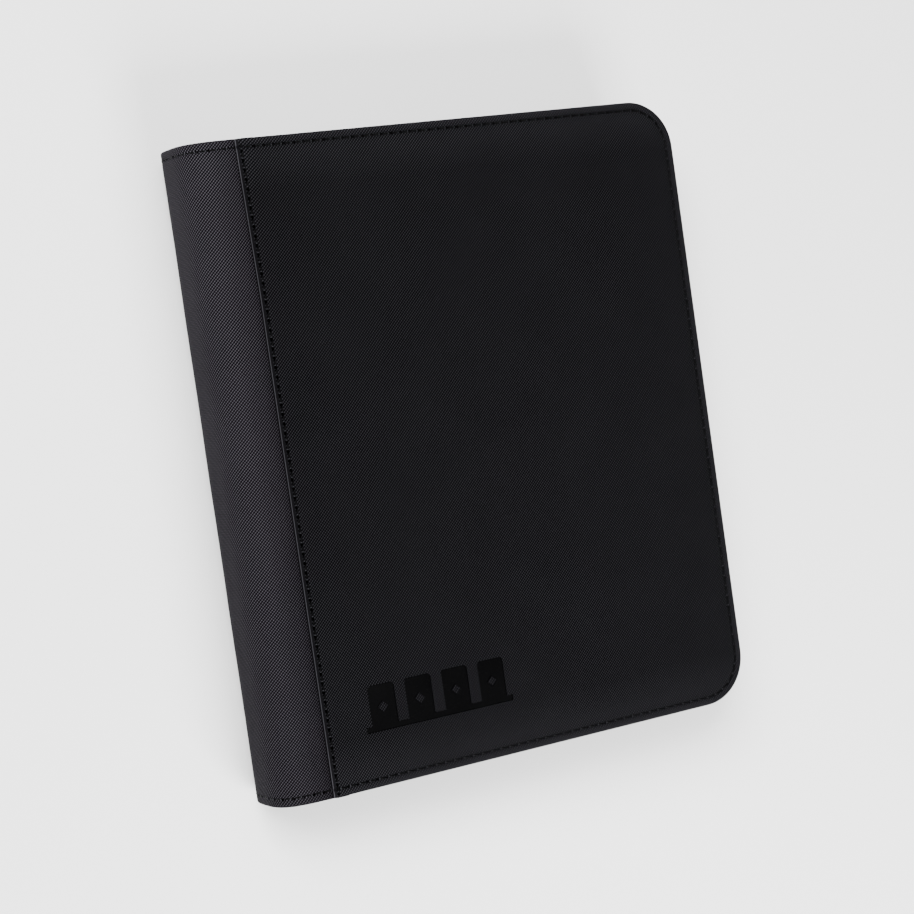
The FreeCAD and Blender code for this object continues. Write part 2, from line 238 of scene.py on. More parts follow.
def leather(name, dark, light, painted_light, fold=None):
    """Coated leather cloth with a crossed grain, smooth where it is folded at x = fold, with a painted
    highlight along the fold's edge; its tone is scaled by the given map of painted light and shade.
    """
    n = Nodes(name)
    where = n.place(True)
    x, y = n.parts(where)
    dots = crossed(n, where, GRAIN_PITCH)
    fine = n.noise(where, 2.2, 4)
    broad = n.noise(where, 0.035, 3)
    tone = n.math("ADD", dots, n.math("MULTIPLY", n.math("SUBTRACT", broad, 0.5), 0.08))
    if fold is not None:
        beyond = n.math("SUBTRACT", x, fold)
        grained = n.span(beyond, 0.0, 1.0, 0.8, 1.3)
        # Painted highlight: a thin pale line along the folded edge, where the fold catches the light.
        painted_highlight = n.span(n.math("ABSOLUTE", n.math("ADD", beyond, 0.27)), 1.0, 0.0, 0.05, 0.16)
        dots = n.math("MULTIPLY", dots, grained)
        tone = n.math("ADD", n.math("MULTIPLY", tone, grained), n.math("MULTIPLY", painted_highlight, 1.15))
        tone = n.math("ADD", tone, n.math("MULTIPLY", n.math("SUBTRACT", 1.0, grained), 0.15))
    tone = n.math("ADD", tone, n.math("MULTIPLY", n.math("SUBTRACT", fine, 0.5), 0.12))
    # Painted light and shade: the tone is scaled by the cover's or the spine's map of painted highlights and
    # shade.
    tone = n.math("MULTIPLY", tone, n.math("MULTIPLY", painted_light(n, x, y), 0.5))
    # The palest colour is twice the leather's own light colour, so painted highlights can rise above it.
    palest = tuple(2 * c for c in light)
    n.colour(tone, [(0.01, dark), (0.96, palest)])
    n.rough(fine, 0.42, 0.6)
    n.relief(n.math("ADD", dots, n.math("MULTIPLY", fine, 0.2)), 0.0003, 0.9)
    n.set(Specular_IOR_Level=0.004)
    return n.material


def woven(name, dark, light, across, along):
    """Plain cloth: threads crossing at right angles, in threads per millimetre."""
    n = Nodes(name)
    where = n.place(True)
    x, y = n.parts(where)
    one = n.math("ABSOLUTE", n.math("SINE", n.math("MULTIPLY", x, across * math.pi)))
    two = n.math("ABSOLUTE", n.math("SINE", n.math("MULTIPLY", y, along * math.pi)))
    height = n.math("MAXIMUM", one, two)
    uneven = n.math("MULTIPLY", n.noise(where, across / 9), 0.5)
    n.colour(n.math("ADD", n.math("MULTIPLY", height, 0.6), uneven), [(0.25, dark), (0.95, light)])
    n.rough(n.noise(where, across / 3), 0.75, 0.95)
    n.relief(height, 0.0001, 0.6)
    n.set(Sheen_Weight=0.02, Specular_IOR_Level=0.06)
    return n.material


def moulded(name, dark, light, roughness, grain, depth, metallic=0.0, coat=0.0, gloss=0.3):
    """Plastic or enamelled metal with a fine surface grain."""
    n = Nodes(name)
    where = n.place(False)
    fine = n.noise(where, grain, 5)
    broad = n.noise(where, grain / 40, 3)
    n.colour(broad, [(0.3, dark), (0.7, light)])
    n.rough(fine, roughness - 0.08, roughness + 0.1)
    n.relief(fine, depth, 0.5)
    n.set(Metallic=metallic, Coat_Weight=coat, Coat_Roughness=0.15, Specular_IOR_Level=gloss)
    return n.material


def thread_material():
    """Black twisted thread, with a painted highlight where each stitch rises out of its hole."""
    n = Nodes("thread")
    where = n.place(False)
    wave = n.new("ShaderNodeTexWave", wave_type="BANDS", bands_direction="DIAGONAL")
    wave.inputs["Scale"].default_value = 1400
    wave.inputs["Distortion"].default_value = 1.5
    n.join(where, wave.inputs["Vector"])
    twist = wave.outputs["Fac"]
    along, _ = n.parts(n.place(True))
    # Painted highlight: a pale tick near the start of each stitch, where the thread rises and catches the
    # light.
    tick_highlight = n.span(n.math("ABSOLUTE", n.math("SUBTRACT", along, 0.2)), 0.8, 0.0, 0.04, 0.13)
    tone = n.math("ADD", n.math("MULTIPLY", twist, 0.2), tick_highlight)
    black, dark, painted_highlight = (0.0003, 0.0003, 0.0004), (0.0012, 0.0012, 0.0014), (0.022, 0.022, 0.025)
    n.colour(tone, [(0.0, black), (0.2, dark), (1.0, painted_highlight)])
    n.rough(n.noise(where, 900), 0.3, 0.5)
    n.relief(twist, 0.00006, 0.7)
    n.set(Specular_IOR_Level=0.03)
    return n.material


def film_material():
    """Clear soft film with a slight ripple."""
    n = Nodes("pocket_film")
    where = n.place(False)
    ripple = n.noise(where, 28, 2)
    n.colour(ripple, [(0.3, (0.93, 0.95, 0.96)), (0.7, (0.98, 0.98, 0.99))])
    n.rough(n.noise(where, 400), 0.05, 0.14)
    n.relief(ripple, 0.0012, 0.5)
    n.set(Transmission_Weight=0.96, IOR=1.46)
    return n.material


def floor_material():
    """The studio's plain pale floor."""
    n = Nodes("studio_floor")
    where = n.place(False)
    n.colour(n.noise(where, 3), [(0.3, (0.84, 0.84, 0.84)), (0.7, (0.86, 0.86, 0.86))])
    n.set(Roughness=0.9, Specular_IOR_Level=0.1)
    return n.material


COVER_LEATHER = leather("cover_leather", (0.0003, 0.0003, 0.0004), (0.0193, 0.0188, 0.0214),
                        cover_painted_light, SEAM_X)
# The spine's leather is the cover's leather made paler: painted light, for the spine that faces the lamps.
SPINE_LEATHER_LIT = leather("spine_leather", (0.0005, 0.0004, 0.0006), (0.0465, 0.0430, 0.0510), spine_painted_light)
LINING = woven("lining_cloth", (0.008, 0.008, 0.009), (0.022, 0.022, 0.024), 2.2, 2.2)
TAPE = woven("zip_tape_weave", (0.007, 0.007, 0.008), (0.020, 0.020, 0.021), 1.6, 2.6)
THREAD = thread_material()
EMBLEM = moulded("emblem_foil", (0.0006, 0.0006, 0.0007), (0.0014, 0.0014, 0.0015),
                 0.24, 900, 0.00002, gloss=0.05)
# Near black and matte: painted shade for the inside of each needle hole.
HOLE = moulded("needle_hole", (0.0002, 0.0002, 0.0002), (0.0005, 0.0005, 0.0005),
               0.9, 4000, 0.00001, gloss=0.0)
TEETH = moulded("zip_nylon", (0.010, 0.010, 0.011), (0.018, 0.018, 0.019), 0.42, 3000, 0.00002)
METAL = moulded("zip_enamel", (0.012, 0.012, 0.013), (0.020, 0.020, 0.022), 0.28, 2500, 0.00002, 0.55, 0.4)
BOARD = moulded("grey_board", (0.20, 0.18, 0.16), (0.30, 0.28, 0.25), 0.85, 1500, 0.00005)
CORE = moulded("page_core", (0.008, 0.008, 0.009), (0.014, 0.014, 0.015), 0.45, 5000, 0.00003)
FILM = film_material()


# ---- Mesh helpers ----

def piece(name, points, faces, body, material, replaced, uvs=None, upward=None):
    """A mesh in the row frame from points in millimetres."""
    mesh = bpy.data.meshes.new(name)
    mesh.from_pydata([Vector(p) * MM for p in points], [], faces)
    if uvs:
        layer = mesh.uv_layers.new(name="surface")
        for loop in mesh.loops:
            layer.data[loop.index].uv = uvs[loop.vertex_index]
    mesh.materials.append(material)
    ob = bpy.data.objects.new(name, mesh)
    bpy.context.scene.collection.objects.link(ob)
    b = bmesh.new()
    b.from_mesh(mesh)
    bmesh.ops.remove_doubles(b, verts=b.verts, dist=1e-6)
    bmesh.ops.dissolve_degenerate(b, edges=b.edges, dist=1e-7)
    if upward is not None:
        largest = max(b.faces, key=lambda f: f.calc_area())
        largest.normal_update()
        if largest.normal.dot(Vector(upward)) < 0:
            bmesh.ops.reverse_faces(b, faces=b.faces)
    for face in b.faces:
        face.smooth = True
    b.to_mesh(mesh)
    b.free()
    if body:
        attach(ob, body)
    if replaced:
        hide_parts(*replaced)
    return ob


def thicken(ob, thickness, offset=-1):
    """Gives a sheet its thickness, inwards from its face, or to both sides with offset 0."""
    solid = ob.modifiers.new("thickness", "SOLIDIFY")
    solid.thickness = thickness * MM
    solid.offset = offset
    settle(ob)


def settle(ob):
    """Applies the piece's modifiers to its mesh."""
    bpy.context.view_layer.update()
    graph = bpy.context.evaluated_depsgraph_get()
    mesh = bpy.data.meshes.new_from_object(ob.evaluated_get(graph))
    ob.modifiers.clear()
    ob.data = mesh


def face_outwards(ob, outwards):
    """Turns an open sheet's faces to the side that outwards(centre) points to, on the whole."""
    b = bmesh.new()
    b.from_mesh(ob.data)
    votes = sum(f.normal.dot(outwards(f.calc_center_median())) * f.calc_area() for f in b.faces)
    if votes < 0:
        bmesh.ops.reverse_faces(b, faces=b.faces)
    b.to_mesh(ob.data)
    b.free()


def face_closed(ob):
    """Turns a closed shape's faces outwards."""
    b = bmesh.new()
    b.from_mesh(ob.data)
    bmesh.ops.recalc_face_normals(b, faces=b.faces)
    b.to_mesh(ob.data)
    b.free()


def add(points, faces, more_points, more_faces):
    """Adds another mesh's points and faces to these."""
    base = len(points)
    points += more_points
    faces += [tuple(base + i for i in face) for face in more_faces]


def quads(rows, columns):
    """Faces of a grid whose points are listed row by row."""
    faces = []
    for r in range(rows - 1):
        for c in range(columns - 1):
            a = r * columns + c
            faces.append((a, a + 1, a + columns + 1, a + columns))
    return faces


def spread(low, high, steps):
    """Evenly spaced values from low to high."""
    return [low + (high - low) * i / steps for i in range(steps + 1)]


# ---- Covers ----

# The leather beside the spine: distance from the fold, and rise above the flat of the cover.
SEAM_PROFILE = [
    (-0.45, -0.74), (-0.44, -0.42), (-0.41, -0.2), (-0.33, 0.0), (-0.19, 0.09), (0.0, 0.12),
    (0.3, 0.1), (0.55, 0.04), (0.8, -0.04), (1.1, -0.14), (1.4, -0.26), (1.65, -0.3),
    (1.9, -0.24), (2.2, -0.08), (2.6, 0.04), (4.2, 0.03), (6.0, 0.0),
]

# The leather round a free edge: distance in from the edge, and height above the cover's inner side.
EDGE_PROFILE = [
    (3.0, 0.0), (1.8, 0.0), (0.5, 0.0), (0.15, 0.1), (0.0, 0.45), (0.0, 1.5), (0.0, 2.8), (0.06, 3.3),
    (0.2, 3.64), (0.45, 3.88), (0.8, 4.01), (1.3, 4.06), (2.3, 4.04), (2.75, 3.97), (3.0, 3.84),
    (3.3, 3.76), (3.6, 3.84), (3.85, 3.97), (4.3, 4.03), (5.5, 4.02), (8.0, 4.0), (13.0, 4.0),
    (CORNER, 4.0),
]

# From this row of the edge profile on, the leather laps over the spine, never lower than LAP_FROM.
LAP_ROW = 8
LAP_FROM = 3.26


def stations(columns, rows):
    """Base points and outward directions along a cover's three free edges."""
    edge = FORE_X - CORNER
    half = HALF_HEIGHT - CORNER
    steps = 15
    found = [((x, -half), (0, -1)) for x in columns]
    for i in range(1, steps):
        angle = -math.pi / 2 + math.pi / 2 * i / steps
        found.append(((edge, -half), (math.cos(angle), math.sin(angle))))
    found += [((edge, y), (1, 0)) for y in rows]
    for i in range(1, steps):
        angle = math.pi / 2 * i / steps
        found.append(((edge, half), (math.cos(angle), math.sin(angle))))
    found += [((x, half), (0, 1)) for x in reversed(columns)]
    return found


def seam_rise(x):
    """How far the leather stands above the flat of the cover beside the spine."""
    u = x - SEAM_X
    for (u0, h0), (u1, h1) in zip(SEAM_PROFILE, SEAM_PROFILE[1:]):
        if u <= u1:
            return h0 + (h1 - h0) * (u - u0) / (u1 - u0)
    return 0.0


def stray(x, y):
    """How far the folded edge strays over the spine towards the binder's head."""
    near = min(max((SEAM_X + 6 - x) / 5, 0.0), 1.0)
    return STRAY * near * max(0.0, (y - STRAY_FROM) / (HALF_HEIGHT - STRAY_FROM))


def cover_surface(profile, seam):
    """A cover sheet's points (x, y, height above the inner side), faces and surface coordinates."""
    columns = [SEAM_X + u for u, _ in SEAM_PROFILE if seam or u >= 0]
    columns += spread(SEAM_X + 9, FORE_X - CORNER, 40)
    rows = spread(-(HALF_HEIGHT - CORNER), HALF_HEIGHT - CORNER, 52)
    path = stations(columns, rows)
    run = [0.0]
    for (i0, h0), (i1, h1) in zip(reversed(profile), list(reversed(profile))[1:]):
        run.append(run[-1] + math.hypot(i1 - i0, h1 - h0))
    run.reverse()
    points, uvs = [], []
    for k, (inset, height) in enumerate(profile):
        for (bx, by), (dx, dy) in path:
            reach = CORNER - inset
            x, y = bx + dx * reach, by + dy * reach
            lapped = seam and k >= LAP_ROW
            if not lapped:
                x = max(x, SEAM_X)
            rise = max(seam_rise(x), LAP_FROM - height) if lapped else 0.0
            points.append((x - stray(x, y) if lapped else x, y, height + rise))
            uvs.append((bx + dx * run[k], by + dy * run[k]))
    faces = quads(len(profile), len(path))
    start = len(points)
    top = profile[-1][1]
    for y in rows:
        for x in columns:
            across = x - stray(x, y) if seam else x
            points.append((across, y, top + (seam_rise(x) if seam else 0.0)))
            uvs.append((x, y))
    faces += [tuple(start + i for i in f) for f in quads(len(rows), len(columns))]
    return points, faces, uvs


def on_cover(points, cover):
    """Heights above the inner side of a cover become Z."""
    if cover == "front":
        return [(x, y, THICKNESS - COVER + h) for x, y, h in points]
    return [(x, y, COVER - h) for x, y, h in points]


def cover_skin(cover):
    """The leather of a cover, rolled round its three free edges and folded beside the spine."""
    points, faces, uvs = cover_surface(EDGE_PROFILE, True)
    up = (0, 0, 1) if cover == "front" else (0, 0, -1)
    ob = piece(cover + "_cover_leather", on_cover(points, cover), faces, cover + "_cover",
               COVER_LEATHER, [cover + "_cover_skin"], uvs, up)
    thicken(ob, 0.7)
    return ob


# The lining round a free edge, in the same measures, before it is raised by LINING_RISE.
LINING_PROFILE = [
    (3.75, 0.0), (3.7, -0.3), (3.75, -0.52), (4.0, -0.6), (5.0, -0.62), (9.0, -0.66), (CORNER, -0.7),
]
LINING_RISE = 0.62


def cover_lining(cover):
    """The cloth on the inner side of a cover, its edge tucked against the zip tape."""
    points, faces, uvs = cover_surface(LINING_PROFILE, False)
    moved = [(x, y, LINING_RISE + h) for x, y, h in points]
    down = (0, 0, -1) if cover == "front" else (0, 0, 1)
    ob = piece(cover + "_cover_lining_cloth", on_cover(moved, cover), faces, cover + "_cover",
               LINING, [cover + "_cover_lining"], uvs, down)
    thicken(ob, 0.45)


# ---- Stitches ----

def stitch(points, faces, uvs, start, end, side, up, radius, sink):
    """One stitch of thread from start to end, humped in the middle and pulled down at both holes."""
    first = len(points)
    steps, sides = 8, 8
    for i in range(steps + 1):
        t = i / steps
        hump = math.sin(math.pi * t) ** 0.55 if 0 < t < 1 else 0.0
        size = radius * (0.55 + 0.45 * hump)
        centre = start.lerp(end, t) + up * (-sink + (sink + radius * 0.35) * hump)
        for j in range(sides):
            a = 2 * math.pi * j / sides
            points.append(centre + side * (math.cos(a) * size) + up * (math.sin(a) * size))
            uvs.append((t, j / sides))
    for i in range(steps):
        for j in range(sides):
            a = first + i * sides + j
            b = first + i * sides + (j + 1) % sides
            faces.append((a, b, b + sides, a + sides))
    faces.append(tuple(first + j for j in reversed(range(sides))))
    faces.append(tuple(first + steps * sides + j for j in range(sides)))


def stitch_row(place, length, pitch, radius=0.34, sink=0.5, slant=0.13, gap=0.75):
    """A whole run of stitches; place(s) gives the point and outward normal at distance s."""
    count = max(1, round(length / pitch))
    step = length / count
    points, faces, uvs, holes = [], [], [], []
    for i in range(count):
        s0 = i * step + gap / 2
        s1 = (i + 1) * step - gap / 2
        p0, n0 = place(s0)
        p1, n1 = place(s1)
        up = (n0 + n1).normalized()
        along = (p1 - p0).normalized()
        side = up.cross(along)
        stitch(points, faces, uvs, p0 + side * slant, p1 - side * slant, side, up, radius, sink)
        holes.append((p0 + side * slant - along * 0.2, along, up))
    return points, faces, uvs, holes


def needle_holes(holes, rise, drop=0.25):
    """The pits that the needle leaves, as shallow cups with their rims just proud of the leather, coloured
    near black and matte as painted shade.
    """
    sides = 10
    points, faces = [], []
    for centre, along, up in holes:
        side = up.cross(along)
        first = len(points)
        for radius, height in ((0.62, rise), (0.56, rise + 0.03), (0.38, rise - drop * 0.3)):
            for j in range(sides):
                a = 2 * math.pi * j / sides
                out = along * 1.15 * math.cos(a) + side * 0.9 * math.sin(a)
                points.append(centre + out * radius + up * height)
        points.append(centre + up * (rise - drop))
        for ring in (first, first + sides):
            for j in range(sides):
                a, b = ring + j, ring + (j + 1) % sides
                faces.append((a, b, b + sides, a + sides))
        last = first + 2 * sides
        for j in range(sides):
            faces.append((last + j, last + (j + 1) % sides, last + sides))
    return points, faces


def perimeter_place(s):
    """A point on the stitch line round a cover's free edges, which runs from the seam's foot to its head."""
    radius = CORNER - STITCH_INSET
    edge = FORE_X - STITCH_INSET
    half = HALF_HEIGHT - STITCH_INSET
    start = SEAM_X + SEAM_STITCH
    run = edge - radius - start
    arc = math.pi / 2 * radius
    rise = 2 * (half - radius)
    if s < run:
        return start + s, -half
    s -= run
    if s < arc:
        a = s / radius - math.pi / 2
        return edge - radius + radius * math.cos(a), -half + radius + radius * math.sin(a)
    s -= arc
    if s < rise:
        return edge, -half + radius + s
    s -= rise
    if s < arc:
        a = s / radius
        return edge - radius + radius * math.cos(a), half - radius + radius * math.sin(a)
    s -= arc
    return edge - radius - s, half


def perimeter_length():
    """How long that stitch line is."""
    radius = CORNER - STITCH_INSET
    run = FORE_X - STITCH_INSET - radius - SEAM_X - SEAM_STITCH
    return 2 * run + math.pi * radius + 2 * (HALF_HEIGHT - STITCH_INSET - radius)


def cover_threads(cover):
    """The stitches round a cover's free edges and beside its fold, with their needle holes."""
    front = cover == "front"
    up = Vector((0, 0, 1 if front else -1))
    sunk, rim, end_gap = 0.16, 0.15, 1.4
    level = THICKNESS - sunk if front else sunk

    def round_edge(s):
        x, y = perimeter_place(s)
        return Vector((x, y, level)), up

    def by_seam(s):
        x, y = SEAM_X + SEAM_STITCH, -HALF_HEIGHT + end_gap + s
        return Vector((x - stray(x, y), y, level)), up

    points, faces, uvs, pricked = stitch_row(round_edge, perimeter_length(), STITCH_PITCH)
    piece(cover + "_perimeter_stitches", points, faces, cover + "_cover", THREAD,
          [cover + "_cover_perimeter_stitching"], uvs)
    points, faces, uvs, more = stitch_row(by_seam, 2 * (HALF_HEIGHT - end_gap), SEAM_PITCH)
    piece(cover + "_seam_stitches", points, faces, cover + "_cover", THREAD,
          [cover + "_cover_seam_stitching"], uvs)
    points, faces = needle_holes(pricked + more, rim)
    piece(cover + "_needle_holes", points, faces, cover + "_cover", HOLE, None)


# ---- Emblem ----

def grown(mesh, low, high, growth):
    """Moves the emblem's outline outwards at its upper rim and sets its lower and upper heights."""
    b = bmesh.new()
    b.from_mesh(mesh)
    bmesh.ops.remove_doubles(b, verts=b.verts, dist=1e-6)
    b.normal_update()
    middle = sum(v.co.z for v in b.verts) / len(b.verts)
    moves = {}
    for v in b.verts:
        total = Vector((0, 0))
        for side in [f.normal.xy for f in v.link_faces if abs(f.normal.z) < 0.5]:
            if (side - total).length > 0.01:
                total += side
        moves[v] = total.normalized() if total.length else total
    for v, move in moves.items():
        upper = v.co.z > middle
        v.co.z = high if upper else low
        if upper:
            v.co.x += move.x * growth
            v.co.y += move.y * growth
    made = bpy.data.meshes.new("emblem_shape")
    b.to_mesh(made)
    b.free()
    return made


def press_emblem(skin):
    """Sinks the emblem into the cover's leather and lays the glossy foil on its floor."""
    recess, above, rim = 0.0004, 0.0002, 0.00025
    foil_under, foil_top = 0.00055, 0.00034
    shape = frame["nodes"]["front_cover_emblem"].data
    top = THICKNESS * MM
    cutter = bpy.data.objects.new("emblem_cutter", grown(shape, top - recess, top + above, rim))
    bpy.context.scene.collection.objects.link(cutter)
    cut = skin.modifiers.new("emblem", "BOOLEAN")
    cut.operation = "DIFFERENCE"
    cut.solver = "EXACT"
    cut.object = cutter
    settle(skin)
    bpy.data.objects.remove(cutter)
    foil = grown(shape, top - foil_under, top - foil_top, 0.0)
    foil.materials.clear()
    foil.materials.append(EMBLEM)
    ob = bpy.data.objects.new("front_emblem_foil", foil)
    bpy.context.scene.collection.objects.link(ob)
    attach(ob, "front_cover")
    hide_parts("front_cover_emblem")


# ---- Spine ----

def spine_point(depth, half, turn):
    """Point and outward normal on a spine layer; turn runs from -90 degrees (back) to 90 (front)."""
    power = 2 / ROUNDNESS
    out = depth * max(math.cos(turn), 0.0) ** power
    rise = half * math.copysign(abs(math.sin(turn)) ** power, turn)
    grow = ROUNDNESS - 1
    lean = (out / depth) ** grow / depth
    climb = (abs(rise) / half) ** grow / half
    normal = Vector((-lean, 0, math.copysign(climb, turn)))
    return Vector((SEAM_X - out, 0, MID_Z + rise)), normal.normalized()


def spine_path(depth, half, front):
    """Points and normals from the margin under a cover to the spine's middle."""
    sign = 1 if front else -1
    up = Vector((0, 0, sign))
    level = MID_Z + sign * half
    path = [(Vector((SEAM_X + u, 0, level)), up) for u in spread(MARGIN, 0.4, MARGIN_STEPS)]
    fine_steps, wanted = 240, 44
    turns = [sign * math.pi / 2 * (1 - i / fine_steps) for i in range(fine_steps + 1)]
    fine = [spine_point(depth, half, turn) for turn in turns]
    length = sum((b[0] - a[0]).length for a, b in zip(fine, fine[1:]))
    walked = 0.0
    path.append((fine[0][0], up))
    for a, b in zip(fine, fine[1:]):
        walked += (b[0] - a[0]).length
        if walked >= length * (len(path) - MARGIN_STEPS - 1) / wanted:
            path.append(b)
    path[-1] = fine[-1]
    return path


def bend_strip(name, depth, half, half_height, ends, front, material, replaced, thickness):
    """Half of a bent spine layer, from under one cover to the spine's middle."""
    path = spine_path(depth, half, front)
    run = [0.0]
    for a, b in zip(path, path[1:]):
        run.append(run[-1] + (b[0] - a[0]).length)
    rows = [(-half_height + y, sink) for y, sink in ends]
    rows += [(y, 0.0) for y in spread(-half_height + 9, half_height - 9, 44)]
    rows += [(half_height - y, sink) for y, sink in reversed(ends)]
    points, uvs = [], []
    for y, sink in rows:
        for (p, n), s in zip(path, run):
            under_cover = p.x > SEAM_X + 0.1
            depth_here = 0.0 if under_cover else sink
            wave = 0.0 if under_cover else 0.05 * math.sin(y * 0.11 + s * 0.05) * min(1.0, s / 12)
            q = p + n * (wave - depth_here)
            points.append((q.x, min(max(y, -half_height), half_height), q.z))
            uvs.append((-s if front else s - 2 * run[-1], y + math.copysign(sink, y)))
    faces = quads(len(rows), len(path))
    ob = piece(name, points, faces, None, material, replaced, uvs)
    inside = Vector((SEAM_X + 4, 0, MID_Z)) * MM
    face_outwards(ob, lambda centre: Vector((centre.x - inside.x, 0, centre.z - inside.z)))
    thicken(ob, thickness)
    ob.data.set_sharp_from_angle(angle=math.radians(50))
    bend(ob)


# The leather and the lining at the spine's ends: distance from the end, and depth below the rounded face.
SPINE_ENDS = [
    (0.1, 2.35), (0.02, 2.1), (0.0, 1.5), (0.0, 0.75), (0.06, 0.42), (0.2, 0.18), (0.45, 0.05),
    (0.9, -0.02), (1.8, -0.03), (2.6, 0.0), (2.95, 0.14), (3.3, 0.24), (3.65, 0.14), (4.0, 0.0),
    (5.2, -0.02),
]
LINING_ENDS = [(0.0, 0.1), (0.5, 0.0), (4.0, 0.0)]


def spine_pieces():
    """The spine's leather, lining and end stitches, each in two halves that meet at the spine's middle."""
    lining_depth = BULGE - LEATHER - SPINE_BOARD
    lining_half = SPINE_HALF - LEATHER - SPINE_BOARD
    for front, side in ((True, "front"), (False, "back")):
        bend_strip("spine_leather_" + side, BULGE, SPINE_HALF, HALF_HEIGHT, SPINE_ENDS, front,
                   SPINE_LEATHER_LIT, ["spine_skin"], 0.75)
        bend_strip("spine_lining_" + side, lining_depth, lining_half, HALF_HEIGHT - 1, LINING_ENDS, front,
                   LINING, ["spine_lining"], 0.5)
        spine_stitches(front, side)


def spine_stitches(front, side):
    """Stitches across both ends of one half of the spine."""
    path = spine_path(BULGE, SPINE_HALF, front)[MARGIN_STEPS:]
    run = [0.0]
    for a, b in zip(path, path[1:]):
        run.append(run[-1] + (b[0] - a[0]).length)
    sunk, rim, end_gap = 0.12, 0.11, 0.6
    points, faces, uvs, pits, pit_faces = [], [], [], [], []
    for end in (-1, 1):
        y = end * (HALF_HEIGHT - STITCH_INSET)

        def across(s):
            for k in range(len(run) - 1):
                if s <= run[k + 1] or k == len(run) - 2:
                    t = (s - run[k]) / (run[k + 1] - run[k])
                    p = path[k][0].lerp(path[k + 1][0], t)
                    n = path[k][1].lerp(path[k + 1][1], t).normalized()
                    place = p - n * sunk
                    return Vector((place.x, y, place.z)), n

        row_points, row_faces, row_uvs, pricked = stitch_row(across, run[-1] - end_gap, STITCH_PITCH)
        hole_points, hole_faces = needle_holes(pricked, rim)
        add(points, faces, row_points, row_faces)
        uvs += row_uvs
        add(pits, pit_faces, hole_points, hole_faces)
    ob = piece("spine_end_stitches_" + side, points, faces, None, THREAD,
               ["spine_stitching_bottom", "spine_stitching_top"], uvs)
    bend(ob)
    ob = piece("spine_needle_holes_" + side, pits, pit_faces, None, HOLE, None)
    bend(ob)


def bend(ob):
    """Bakes one half of a spine layer's placement into its mesh."""
    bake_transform(ob)


# ---- Zip ----

TAPE_INSET = 3.3
TAPE_TOP = tape_high.z / MM
TAPE_THICKNESS = 0.5
STOP_LENGTH = 2.4
TOOTH_PITCH = 1.5
TOOTH_RISE = 0.8
TOOTH_MIDDLE = 0.75

# The tape's section: distance out from its line, and height above the outer face of its cover.
TAPE_PROFILE = [
    (-0.1, COVER - 0.5), (0.0, COVER + 0.2), (0.06, COVER + 3), (0.0, COVER + 6),
    (-0.05, TAPE_TOP - 4), (0.0, TAPE_TOP - 2.2), (0.28, TAPE_TOP - 1.5), (0.3, TAPE_TOP - 0.9),
    (0.1, TAPE_TOP - 0.4), (0.0, TAPE_TOP),
]

# A tooth's outline across the tape's edge, and its share of that size along its own width.
TOOTH_OUTLINE = [
    (-1.0, 0.1), (-1.1, 0.55), (-0.85, 1.35), (-0.5, 1.78), (0.5, 1.78),
    (0.85, 1.35), (1.1, 0.55), (1.0, 0.1), (0.5, -0.25), (-0.5, -0.25),
]
TOOTH_WIDTHS = [(-0.5, 0.72), (-0.36, 1.0), (0.36, 1.0), (0.5, 0.72)]


def zip_path(start_x, bottom_x):
    """Points and outward normals of the zip line, from the bottom edge round to the top edge."""
    radius = CORNER - TAPE_INSET
    edge = FORE_X - TAPE_INSET
    half = HALF_HEIGHT - TAPE_INSET
    steps = 18
    path = [(Vector((x, -half, 0)), Vector((0, -1, 0))) for x in spread(bottom_x, edge - radius, 110)]
    for i in range(1, steps):
        a = -math.pi / 2 + math.pi / 2 * i / steps
        out = Vector((math.cos(a), math.sin(a), 0))
        path.append((Vector((edge - radius, -half + radius, 0)) + out * radius, out))
    path += [(Vector((edge, y, 0)), Vector((1, 0, 0))) for y in spread(-half + radius, half - radius, 140)]
    for i in range(1, steps):
        a = math.pi / 2 * i / steps
        out = Vector((math.cos(a), math.sin(a), 0))
        path.append((Vector((edge - radius, half - radius, 0)) + out * radius, out))
    path += [(Vector((x, half, 0)), Vector((0, 1, 0))) for x in spread(edge - radius, start_x, 115)]
    return path


def zip_tape(cover, start_x, bottom_x):
    """Woven tape with a corded edge beside the teeth."""
    path = zip_path(start_x, bottom_x)
    front = cover == "front"
    points, uvs = [], []
    run = 0.0
    for k, (p, out) in enumerate(path):
        if k:
            run += (p - path[k - 1][0]).length
        for off, h in TAPE_PROFILE:
            q = p + out * (off + TAPE_THICKNESS / 2)
            points.append((q.x, q.y, THICKNESS - h if front else h))
            uvs.append((run, h))
    faces = quads(len(path), len(TAPE_PROFILE))
    ob = piece(cover + "_zip_tape_cloth", points, faces, cover + "_cover", TAPE,
               [cover + "_zip_tape"], uvs)
    face_outwards(ob, lambda centre: Vector((centre.x, centre.y, 0)))
    thicken(ob, TAPE_THICKNESS)


